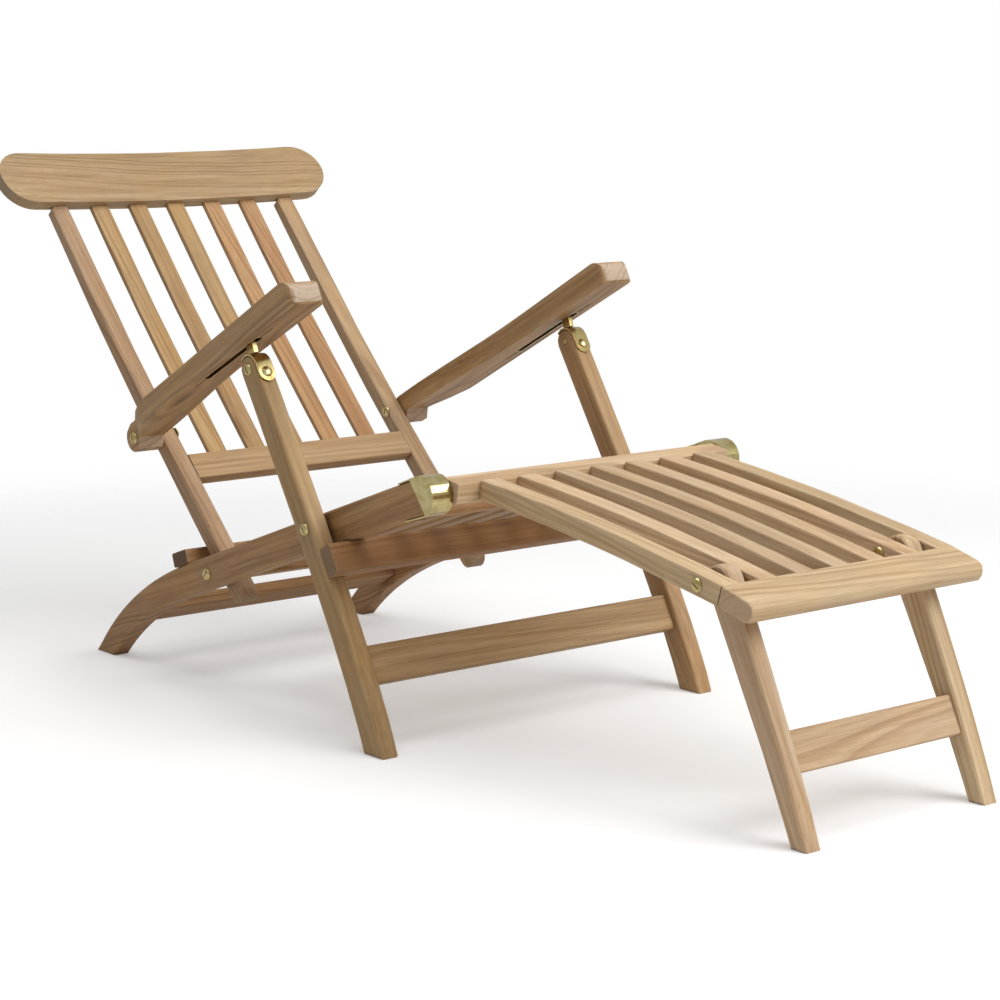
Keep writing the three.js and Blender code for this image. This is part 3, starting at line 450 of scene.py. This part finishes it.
FRAME_TEAK = teak("frame teak", (196, 166, 131), (166, 131, 93), (116, 82, 53), (164, 142, 118), 0.006, 0.42)
LEG_TEAK = teak("leg teak", (200, 165, 123), (166, 127, 84), (108, 74, 44), (150, 126, 102), 0.0075, 0.42)
RAIL_TEAK = teak("rail teak", (186, 144, 99), (150, 107, 65), (94, 60, 34), (92, 74, 58), 0.007, 0.5)
BAR_TEAK = teak("crossbar teak", (182, 137, 93), (146, 101, 64), (94, 60, 35), (132, 108, 82), 0.007, 0.45)
ARM_TEAK = teak("armrest teak", (198, 161, 119), (160, 120, 80), (90, 61, 38), (196, 176, 154), 0.0085, 0.55)
SLAT_TEAK = teak("back slat teak", (202, 166, 122), (168, 126, 82), (116, 78, 46), (156, 130, 100),
                 0.006, 0.45)
FOOT_TEAK = teak("footrest teak", (216, 190, 157), (186, 151, 112), (136, 99, 66), (196, 166, 132),
                 0.0075, 0.42, (232, 212, 182))
SEAT_TEAK = teak("seat slat teak", (204, 170, 128), (166, 124, 82), (112, 74, 44), (156, 130, 102))
CAP_BRASS = brass("knee cap brass", (214, 200, 148), (182, 162, 104), 0.15, 0.04)
BOLT_BRASS = brass("bolt brass", (204, 188, 138), (168, 144, 90), 0.26, 0.06)
STRAP_BRASS = brass("strap brass", (212, 194, 138), (176, 148, 88), 0.2, 0.02)


# Pieces
def new_piece(name, bm, material, body, replaces=(), sharp=32.0):
    """A piece of the scene, carried by a body, in the place of the CAD nodes that it replaces."""
    mesh = bpy.data.meshes.new(name)
    bm.to_mesh(mesh)
    bm.free()
    mesh.materials.append(material)
    for polygon in mesh.polygons:
        polygon.use_smooth = True
    mesh.set_sharp_from_angle(angle=math.radians(sharp))
    piece = bpy.data.objects.new(name, mesh)
    bpy.context.scene.collection.objects.link(piece)
    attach(piece, body)
    if replaces:
        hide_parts(*replaces)
    return piece


def copy_of(node):
    """The solid of a CAD node as a clean bmesh, its loose triangles joined into faces."""
    bm = bmesh.new()
    bm.from_mesh(bpy.data.objects[node].data)
    bmesh.ops.remove_doubles(bm, verts=bm.verts, dist=0.00001)
    bmesh.ops.dissolve_limit(bm, angle_limit=math.radians(1.0), verts=bm.verts, edges=bm.edges,
                             use_dissolve_boundaries=False, delimit={"NORMAL"})
    bmesh.ops.recalc_face_normals(bm, faces=bm.faces)
    return bm


def board_axes(axis):
    """The directions along, across and through a board whose grain runs along axis."""
    along = Vector(axis).normalized()
    side = Vector((1, 0, 0))
    if abs(along.x) > 0.9:
        side = Vector((0, 1, 0))
    through = along.cross(side).normalized()
    return along, through.cross(along).normalized(), through


def sharp_edges(bm, turn, shortest=0.0):
    """The edges where two faces meet at more than turn degrees."""
    return [e for e in bm.edges if e.calc_face_angle(0) > math.radians(turn) and e.calc_length() > shortest]


def ease(bm, edges, offset, segments):
    """Rounds edges over."""
    bmesh.ops.bevel(bm, geom=edges, offset=offset, offset_type="OFFSET", affect="EDGES", segments=segments,
                    profile=0.5, material=-1, clamp_overlap=True)


def lay_grain(bm, axis, name):
    """Stores each point's place in the board, the board's own tint and its cut ends."""
    along, across, through = board_axes(axis)
    rng = random.Random(sum((i + 3) * ord(letter) for i, letter in enumerate(name)))
    tint = Vector((rng.random(), rng.random(), rng.random() * 3 + 1))
    place = bm.verts.layers.float_vector.new("board")
    plank = bm.verts.layers.float_vector.new("plank")
    cut_end = bm.faces.layers.float.new("cut_end")
    middle = sum((v.co for v in bm.verts), Vector()) / len(bm.verts)
    for vert in bm.verts:
        spot = vert.co - middle
        vert[place] = Vector((spot.dot(along), spot.dot(across), spot.dot(through)))
        vert[plank] = tint
    for face in bm.faces:
        lean = abs(face.normal.dot(along))
        face[cut_end] = min(max((lean - 0.62) / 0.28, 0.0), 1.0)


def board(node, body, material, axis, edge=0.0008, segments=2, reach=0.0, turn=32, nose=False):
    """A timber: the CAD node's shape with its sharp edges eased and its grain laid along axis.

    reach lengthens both ends to close the joints, and nose rounds the front end of an armrest.
    """
    bm = copy_of(node)
    along = Vector(axis).normalized()
    middle = middle_of(node)
    half = max(abs((v.co - middle).dot(along)) for v in bm.verts)
    for vert in bm.verts:
        place = (vert.co - middle).dot(along)
        if reach and abs(place) > half - END_ZONE:
            vert.co += along * math.copysign(reach, place)
    if nose:
        round_nose(bm, along)
    shortest = edge if nose else edge * 2.5
    ease(bm, sharp_edges(bm, turn, shortest), edge, segments)
    bmesh.ops.recalc_face_normals(bm, faces=bm.faces)
    lay_grain(bm, axis, node)
    piece = new_piece(f"timber_{node}", bm, material, body, [node], sharp=turn + 18)
    even_shading(piece)
    return piece


def round_nose(bm, along):
    """Planes the front end of an armrest round: well over its top edge, a little under it.

    Each round is a fan of flat cuts that touch one circle.
    """
    forward = -along if along.z < 0 else along
    away = Vector((0, forward.z, -forward.y))
    tip = max(v.co.dot(forward) for v in bm.verts)
    heights = [v.co.dot(away) for v in bm.verts if v.co.dot(forward) > tip - NOSE_ZONE]
    for radius, rise, height, cuts in ((NOSE_TOP, 1, max(heights), 9), (NOSE_UNDER, -1, min(heights), 4)):
        centre = forward * (tip - radius) + away * (height - rise * radius)
        for step in range(1, cuts):
            angle = math.pi / 2 * step / cuts
            outward = forward * math.cos(angle) + away * rise * math.sin(angle)
            geometry = bm.verts[:] + bm.edges[:] + bm.faces[:]
            shaved = bmesh.ops.bisect_plane(bm, geom=geometry, dist=1e-6, plane_co=centre + outward * radius,
                                            plane_no=outward, clear_outer=True)
            rim = [e for e in shaved["geom_cut"] if isinstance(e, bmesh.types.BMEdge) and e.is_boundary]
            bmesh.ops.holes_fill(bm, edges=rim)


def crossbar(node, body, material, reach=0.0):
    """A bar across the chair: its long corners are round already, so only the rims of its ends are eased."""
    return board(node, body, material, ACROSS, 0.0005, 2, reach, 60)


def even_shading(piece):
    """Keeps the large faces flat and lets only the eased edges turn the light."""
    modifier = piece.modifiers.new("even shading", "WEIGHTED_NORMAL")
    modifier.mode = "FACE_AREA"
    modifier.weight = 80
    modifier.keep_sharp = True


def middle_of(node):
    """The middle of a CAD node's box."""
    low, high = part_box(node)
    return (Vector(low) + Vector(high)) / 2


def turned(name, centre, profile, body, replaces=(), slot_cuts=(), axis=(1, 0, 0)):
    """A lathe-turned brass piece: profile is a list of (place along the axis, radius)."""
    bm = bmesh.new()
    verts = [bm.verts.new((x, 0, radius)) for x, radius in profile]
    edges = [bm.edges.new(pair) for pair in zip(verts, verts[1:])]
    bmesh.ops.spin(bm, geom=verts + edges, cent=(0, 0, 0), axis=(1, 0, 0), angle=math.tau, steps=LATHE_STEPS,
                   use_merge=True)
    bmesh.ops.remove_doubles(bm, verts=bm.verts, dist=0.000002)
    bmesh.ops.holes_fill(bm, edges=[e for e in bm.edges if e.is_boundary], sides=0)
    turn = Vector((1, 0, 0)).rotation_difference(Vector(axis)).to_matrix().to_4x4()
    place = Matrix.Translation(centre) @ turn
    bmesh.ops.transform(bm, matrix=place, verts=bm.verts)
    bmesh.ops.recalc_face_normals(bm, faces=bm.faces)
    piece = new_piece(name, bm, BOLT_BRASS, body, replaces, sharp=TURNED_SHARP)
    for x, depth, angle in slot_cuts:
        carve(piece, slot_cutter(x, depth, angle, place))
    return piece


def slot_cutter(x, depth, angle, place):
    """A thin bar that cuts the driver slot of a screw head at x on its axis."""
    bm = bmesh.new()
    bmesh.ops.create_cube(bm, size=1.0)
    bmesh.ops.scale(bm, verts=bm.verts, vec=(depth * 2, SLOT_LENGTH, SLOT_WIDTH))
    bmesh.ops.rotate(bm, verts=bm.verts, cent=(0, 0, 0), matrix=Matrix.Rotation(angle, 3, "X"))
    bmesh.ops.translate(bm, verts=bm.verts, vec=(x, 0, 0))
    bmesh.ops.transform(bm, matrix=place, verts=bm.verts)
    return bm


def carve(piece, cutter):
    """Cuts a closed shape out of a piece and keeps the cut mesh."""
    mesh = bpy.data.meshes.new("cutter")
    cutter.to_mesh(mesh)
    cutter.free()
    tool = bpy.data.objects.new("cutter", mesh)
    bpy.context.scene.collection.objects.link(tool)
    modifier = piece.modifiers.new("cut", "BOOLEAN")
    modifier.operation = "DIFFERENCE"
    modifier.solver = "EXACT"
    modifier.object = tool
    depsgraph = bpy.context.evaluated_depsgraph_get()
    cut_mesh = bpy.data.meshes.new_from_object(piece.evaluated_get(depsgraph))
    piece.modifiers.clear()
    piece.data = cut_mesh
    bpy.data.objects.remove(tool)
    cut_mesh.set_sharp_from_angle(angle=math.radians(TURNED_SHARP))


def domed_head(x, radius, height, out):
    """The profile of a screw head from its rim to its crown; out is the way it faces, 1 or -1."""
    points = [(x, radius * 0.98), (x + out * height * 0.16, radius)]
    for share in (0.35, 0.6, 0.8, 0.93, 1.0):
        swell = math.cos(share * math.pi / 2)
        rise = 0.16 + 0.84 * share * (2 - share)
        points.append((x + out * height * rise, radius * (0.06 + 0.94 * swell)))
    points.append((x + out * height, 0.0))
    return points


def pivot_bolt(node, body, angle):
    """A bolt with a slotted, domed head at each end of its CAD node; angle turns the slots."""
    low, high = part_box(node)
    centre = middle_of(node)
    side = 1 if centre.x > 0 else -1
    centre.x = 0
    inner, outer = (low[0], high[0]) if side > 0 else (high[0], low[0])
    inner_seat = inner + side * HEAD_HEIGHT
    outer_seat = outer - side * HEAD_HEIGHT
    profile = list(reversed(domed_head(inner_seat, HEAD_RADIUS, HEAD_HEIGHT, -side)))
    profile += [(inner_seat, SHANK_RADIUS), (outer_seat, SHANK_RADIUS)]
    profile += domed_head(outer_seat, HEAD_RADIUS, HEAD_HEIGHT, side)
    cuts = [(outer, SLOT_DEPTH, angle), (inner, SLOT_DEPTH, angle + 0.7)]
    turned(f"slotted_{node}", centre, profile, body, [node], slot_cuts=cuts)


def build_seat():
    for side in SIDES:
        board(f"side_rail_{side}", "seat", RAIL_TEAK, SEAT_AXIS, FRAME_EDGE, 3)
        knee_cap(side)
        pin = bpy.data.objects[f"knee_pin_{side}"].data.materials
        pin.clear()
        pin.append(BOLT_BRASS)
        pivot_bolt(f"back_bolt_{side}", "seat", -1.0)
    for i in range(1, 8):
        board(f"seat_slat_{i}", "seat", SEAT_TEAK, SEAT_AXIS)
    for node in ("seat_front_rail", "seat_rear_rail"):
        crossbar(node, "seat", SEAT_TEAK, JOINT)
    crossbar("rear_top_bar", "seat", RAIL_TEAK)
    crossbar("rear_stretcher", "seat", RAIL_TEAK, JOINT)


def knee_cap(side):
    """The bent sheet over the knee: its nose drawn out to a smooth round and its rims rolled."""
    node = f"knee_cap_{side}"
    bm = copy_of(node)
    low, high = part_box(node)
    centre = Vector((0, low[1] + CAP_OUTER, high[2] - CAP_OUTER))
    nose = [e for e in bm.edges if all(on_nose(v.co, centre) for v in e.verts)
            and abs(e.verts[0].co.x - e.verts[1].co.x) < ROUND_EDGE and e.calc_length() > ROUND_EDGE]
    radii = {v: (v.co.yz - centre.yz).length for e in nose for v in e.verts}
    made = bmesh.ops.subdivide_edges(bm, edges=nose, cuts=4, use_grid_fill=True)
    for vert in {v for v in made["geom_inner"] if isinstance(v, bmesh.types.BMVert)}:
        spot = Vector((vert.co.y - centre.y, vert.co.z - centre.z))
        radius = min(radii.values(), key=lambda r: abs(r - spot.length * CHORD_SWELL))
        spot *= radius / spot.length
        vert.co.y, vert.co.z = centre.y + spot.x, centre.z + spot.y
    ease(bm, sharp_edges(bm, 50), CAP_RIM, 3)
    even_shading(new_piece(f"brass_{node}", bm, CAP_BRASS, "seat", [node], sharp=SHEET_SHARP))


def on_nose(spot, centre):
    """Whether a point lies on the round of the knee cap, on either face of the sheet."""
    reach = (spot.yz - centre.yz).length
    on_sheet = any(abs(reach - radius) < ROUND_SLACK for radius in (CAP_OUTER, CAP_INNER))
    return on_sheet and spot.y < centre.y + ROUND_BACK


def build_front_legs():
    for side in SIDES:
        board(f"front_leg_{side}", "front_legs", LEG_TEAK, LEG_AXIS, FRAME_EDGE, 3)
        pivot_bolt(f"leg_bolt_{side}", "front_legs", 0.9)
        for node, metal in ((f"leg_strap_{side}", STRAP_BRASS), (f"leg_spacer_{side}", BOLT_BRASS)):
            metal_piece(node, copy_of(node), metal, "front_legs")
        leg_hook(side)
        leg_top_screws(side)
    crossbar("leg_stop_bar", "front_legs", BAR_TEAK)
    crossbar("leg_stretcher", "front_legs", LEG_TEAK, JOINT)


def metal_piece(node, bm, metal, body, rim=0.0005):
    """A small brass fitting from a bmesh, its rims rolled over."""
    ease(bm, sharp_edges(bm, 38), rim, 2)
    even_shading(new_piece(f"brass_{node}", bm, metal, body, [node], sharp=SHEET_SHARP))


def leg_hook(side):
    """The tab that stands on the strap and reaches up into the slot of the armrest."""
    node = f"leg_hook_{side}"
    bm = copy_of(node)
    middle = middle_of(node)
    for vert in bm.verts:
        upper = (vert.co - middle).dot(HOOK_RISE) > 0
        vert.co += HOOK_RISE * (HOOK_INTO_SLOT if upper else -HOOK_ONTO_STRAP)
    metal_piece(node, bm, STRAP_BRASS, "front_legs", 0.0004)


def leg_top_screws(side):
    """The bolt across a leg's round top, and the domed screw that holds the strap to the front of the leg."""
    sign = -1 if side == "left" else 1
    out = sign * LEG_OUT
    profile = list(reversed(domed_head(sign * LEG_IN, LEG_BOLT_TAIL_RADIUS, LEG_BOLT_TAIL_HEIGHT, -sign)))
    profile += domed_head(out, LEG_BOLT_RADIUS, TOP_HEAD_HEIGHT, sign)
    cuts = [(out + sign * TOP_HEAD_HEIGHT, LEG_BOLT_SLOT_DEPTH, 1.0)]
    turned(f"leg_top_bolt_{side}", LEG_TOP, profile, "front_legs", slot_cuts=cuts)
    face = LEG_TOP + Vector((sign * LEG_MIDDLE, 0, 0)) - LEG_RISE * SCREW_DROP + LEG_LEAD * SCREW_LEAD
    dome = [(-STRAP_SHANK_DEPTH, 0.0), (-STRAP_SHANK_DEPTH, STRAP_SHANK_RADIUS)]
    dome += domed_head(0, STRAP_SCREW_RADIUS, STRAP_SCREW_HEIGHT, 1)
    turned(f"strap_screw_{side}", face, dome, "front_legs", axis=LEG_LEAD)


def build_back():
    for side in SIDES:
        board(f"back_stile_{side}", "back", FRAME_TEAK, BACK_AXIS, FRAME_EDGE, 3)
        pivot_bolt(f"arm_bolt_{side}", "back", 1.2)
    for i in range(1, 6):
        board(f"back_slat_{i}", "back", SLAT_TEAK, BACK_AXIS, reach=JOINT)
    board("head_rail", "back", FRAME_TEAK, ACROSS, HEAD_RAIL_EDGE, 4)
    crossbar("lower_back_rail", "back", FRAME_TEAK, JOINT)


def build_arms():
    for side in SIDES:
        body = f"arm_{side}"
        board(f"armrest_{side}", body, ARM_TEAK, ARM_AXIS, ARM_EDGE, 4, nose=True)
        liner = f"arm_slot_liner_{side}"
        metal_piece(liner, copy_of(liner), STRAP_BRASS, body)


def build_footrest():
    crossbar("knee_bar", "footrest", FOOT_TEAK)
    crossbar("front_bar", "footrest", FOOT_TEAK)
    for i in range(1, 8):
        board(f"foot_slat_{i}", "footrest", FOOT_TEAK, FOOT_SLAT_AXIS, reach=SLAT_JOINT)
    for side in SIDES:
        board(f"foot_leg_{side}", "foot_legs", FOOT_TEAK, FOOT_LEG_AXIS, FRAME_EDGE, 3)
        pivot_bolt(f"foot_bolt_{side}", "footrest", 0.6)
    crossbar("foot_stretcher", "foot_legs", FOOT_TEAK, JOINT)


# Studio
def build_floor():
    """A pale floor that fades out, a little lighter to the eye than the light it gives back."""
    bm = bmesh.new()
    bmesh.ops.create_grid(bm, x_segments=1, y_segments=1, size=9.0)
    mesh = bpy.data.meshes.new("studio_floor")
    bm.to_mesh(mesh)
    bm.free()
    material = bpy.data.materials.new("studio floor")
    material.use_nodes = True
    shader = material.node_tree.nodes["Principled BSDF"]
    shader.inputs["Base Color"].default_value = (0.84, 0.84, 0.84, 1)
    shader.inputs["Roughness"].default_value = 0.9
    shader.inputs["Specular IOR Level"].default_value = 0.1
    shader.inputs["Emission Color"].default_value = (1, 1, 1, 1)
    w = Wiring(material.node_tree)
    away = w.node("ShaderNodeVectorMath", operation="LENGTH")
    w.join(w.node("ShaderNodeTexCoord").outputs["Object"], away.inputs[0])
    w.join(w.ramp(away.outputs["Value"], 1.3, 2.4, 1.0, 0.0), shader.inputs["Alpha"])
    path = w.node("ShaderNodeLightPath")
    seen = w.math("MAXIMUM", path.outputs["Is Camera Ray"], path.outputs["Is Transmission Ray"])
    seen = w.math("MAXIMUM", seen, w.math("MULTIPLY", path.outputs["Is Glossy Ray"], 0.5))
    w.join(w.math("MULTIPLY", seen, 0.24), shader.inputs["Emission Strength"])
    mesh.materials.append(material)
    floor = bpy.data.objects.new("studio_floor", mesh)
    bpy.context.scene.collection.objects.link(floor)


def build_world():
    """A white surround: full strength to the eye, soft fill for the chair."""
    world = bpy.data.worlds.new("studio")
    world.use_nodes = True
    bpy.context.scene.world = world
    w = Wiring(world.node_tree)
    background = world.node_tree.nodes["Background"]
    path = w.node("ShaderNodeLightPath")
    seen = w.math("MAXIMUM", path.outputs["Is Camera Ray"], path.outputs["Is Transmission Ray"])
    seen = w.math("MAXIMUM", seen, w.math("MULTIPLY", path.outputs["Is Glossy Ray"], 0.4))
    w.join(w.math("MULTIPLY_ADD", seen, 0.68, 0.32), background.inputs["Strength"])
    background.inputs["Color"].default_value = (1, 1, 1, 1)


def area_light(name, place, target, size, power):
    """A softbox at place, turned towards target."""
    data = bpy.data.lights.new(name, "AREA")
    data.shape = "RECTANGLE"
    data.size, data.size_y = size
    data.energy = power
    lamp = bpy.data.objects.new(name, data)
    lamp.location = place
    lamp.rotation_euler = (Vector(target) - Vector(place)).to_track_quat("-Z", "Y").to_euler()
    bpy.context.scene.collection.objects.link(lamp)


def build_lights():
    area_light("softbox_key", (1.5, -3.2, 2.8), (0, -0.1, 0.3), (2.8, 2.4), 112)
    area_light("softbox_top", (-0.3, -0.3, 3.2), (0, 0, 0.3), (2.4, 2.4), 50)


def build_camera():
    """The camera of the photograph, solved on the edges of the chair."""
    stand = (-2.276, -2.8389, 0.897)
    yaw = math.radians(50.59)
    pitch = math.radians(9.48)
    ahead = Vector((math.cos(yaw) * math.cos(pitch), math.sin(yaw) * math.cos(pitch), -math.sin(pitch)))
    right = Vector((math.sin(yaw), -math.cos(yaw), 0))
    up = right.cross(ahead)
    data = bpy.data.cameras.new("photo_view")
    data.sensor_width = 36
    data.lens = 93.53
    camera = bpy.data.objects.new("photo_view", data)
    turn = Matrix((right, up, -ahead)).transposed().to_4x4()
    camera.matrix_world = Matrix.Translation(stand) @ turn
    bpy.context.scene.collection.objects.link(camera)
    bpy.context.scene.camera = camera


build_camera()
build_seat()
build_front_legs()
build_back()
build_arms()
build_footrest()
build_floor()
build_world()
build_lights()
bpy.context.scene.view_settings.view_transform = "Standard"

bpy.context.view_layer.update()
